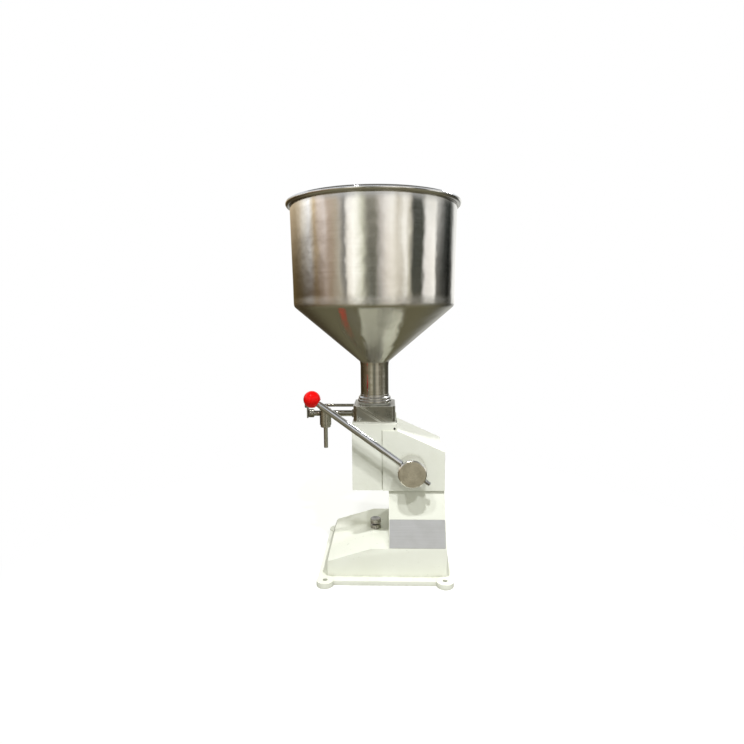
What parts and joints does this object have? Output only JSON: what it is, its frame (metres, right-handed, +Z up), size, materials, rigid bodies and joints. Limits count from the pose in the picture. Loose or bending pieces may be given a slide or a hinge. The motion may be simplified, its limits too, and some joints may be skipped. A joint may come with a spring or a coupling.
{
  "type": "hand-operated piston filling machine",
  "caption": "Bench-top piston filler: stainless hopper on a valve block and cast C-frame, side lever with ball knob, down-turned nozzle over a wide bolted foot.",
  "frame": {"origin": "centre of the four foot bolts, on the plane the machine stands on", "axes": "+Z up; -X towards the nozzle and the bottle; +Y away from the lever side, so the lever and ball are on the -Y side"},
  "size_m": [0.3214, 0.3214, 0.6845],
  "materials": {
    "paint": "semi-gloss off-white enamel",
    "steel_sheet": "brushed",
    "steel_turned": "fine turned",
    "steel_ground": "ground, satin",
    "chrome": "polished",
    "red_knob": "gloss",
    "plate": "matt anodised",
    "bronze": "satin",
    "black_steel": "black oxide",
    "gear_steel": "machined, oiled",
    "rubber": "matt",
    "ptfe": "matt"
  },
  "bodies": {
    "frame": {"frame_casting": "paint", "head_casting": "paint", "rear_hood": "paint", "hood_screws": "steel_turned", "head_bolts": "black_steel", "head_grub_screw": "black_steel", "valve_block": "steel_ground", "block_screws": "black_steel", "cylinder_barrel": "steel_turned", "barrel_oring": "rubber", "hopper_wall": "steel_sheet", "hopper_cone": "steel_sheet", "hopper_neck": "steel_sheet", "neck_collar": "steel_turned", "hopper_gasket": "ptfe", "hopper_nipple": "steel_turned", "inlet_seat": "steel_turned", "inlet_spring": "steel_turned", "outlet_pipe": "steel_turned", "tee_body": "steel_turned", "tee_end_cap": "steel_turned", "tee_nut": "steel_turned", "nozzle_tube": "steel_turned", "outlet_spring": "steel_turned", "clamp_rod": "steel_turned", "clamp_plate": "steel_turned", "clamp_nut": "steel_turned", "near_bush": "bronze", "far_bush": "bronze", "rack_guide": "bronze", "rod_guide": "bronze", "stroke_lock_nut": "steel_ground", "name_plate": "plate"},
    "lever": {"lever_shaft": "steel_ground", "shaft_key": "gear_steel", "drive_gear": "gear_steel", "thrust_washer": "bronze", "lever_hub": "steel_ground", "hub_grub_screw": "black_steel", "lever_rod": "chrome", "ball_knob": "red_knob", "end_washer": "steel_turned", "end_bolt": "steel_turned"},
    "piston": {"piston_head": "steel_turned", "piston_seals": "ptfe", "piston_screw": "steel_turned", "piston_rod": "chrome", "crosshead": "gear_steel", "crosshead_pin": "steel_turned", "gear_rack": "gear_steel", "rack_screws": "black_steel"},
    "inlet_valve": {"inlet_poppet": "steel_turned", "inlet_nut": "steel_turned"},
    "outlet_valve": {"outlet_ball": "chrome"},
    "stroke_stop": {"stroke_screw": "steel_ground"}
  },
  "joints": [
    {"name": "lever_turn", "type": "hinge", "parent": "frame", "child": "lever", "pos_m": [0.0496, 0, 0.2007], "axis": [0, -1, 0], "range_deg": [-3.5, 49.3]},
    {"name": "piston_slide", "type": "slide", "parent": "frame", "child": "piston", "axis": [0, 0, -1], "range_m": [-0.002, 0.028]},
    {"name": "inlet_lift", "type": "slide", "parent": "frame", "child": "inlet_valve", "axis": [0, 0, -1], "range_m": [0, 0.004], "stiffness_N_per_m": 400, "springref_m": -0.002, "deforming": ["inlet_spring"]},
    {"name": "outlet_lift", "type": "slide", "parent": "frame", "child": "outlet_valve", "axis": [-1, 0, 0], "range_m": [0, 0.0035], "stiffness_N_per_m": 300, "springref_m": -0.002, "deforming": ["outlet_spring"]},
    {"name": "stroke_set", "type": "slide", "parent": "frame", "child": "stroke_stop", "axis": [0, 0, 1], "range_m": [0, 0.045]}
  ],
  "couplings": [
    {"joint": "piston_slide", "follows": "lever_turn", "m_per_rad": 0.0325}
  ]
}
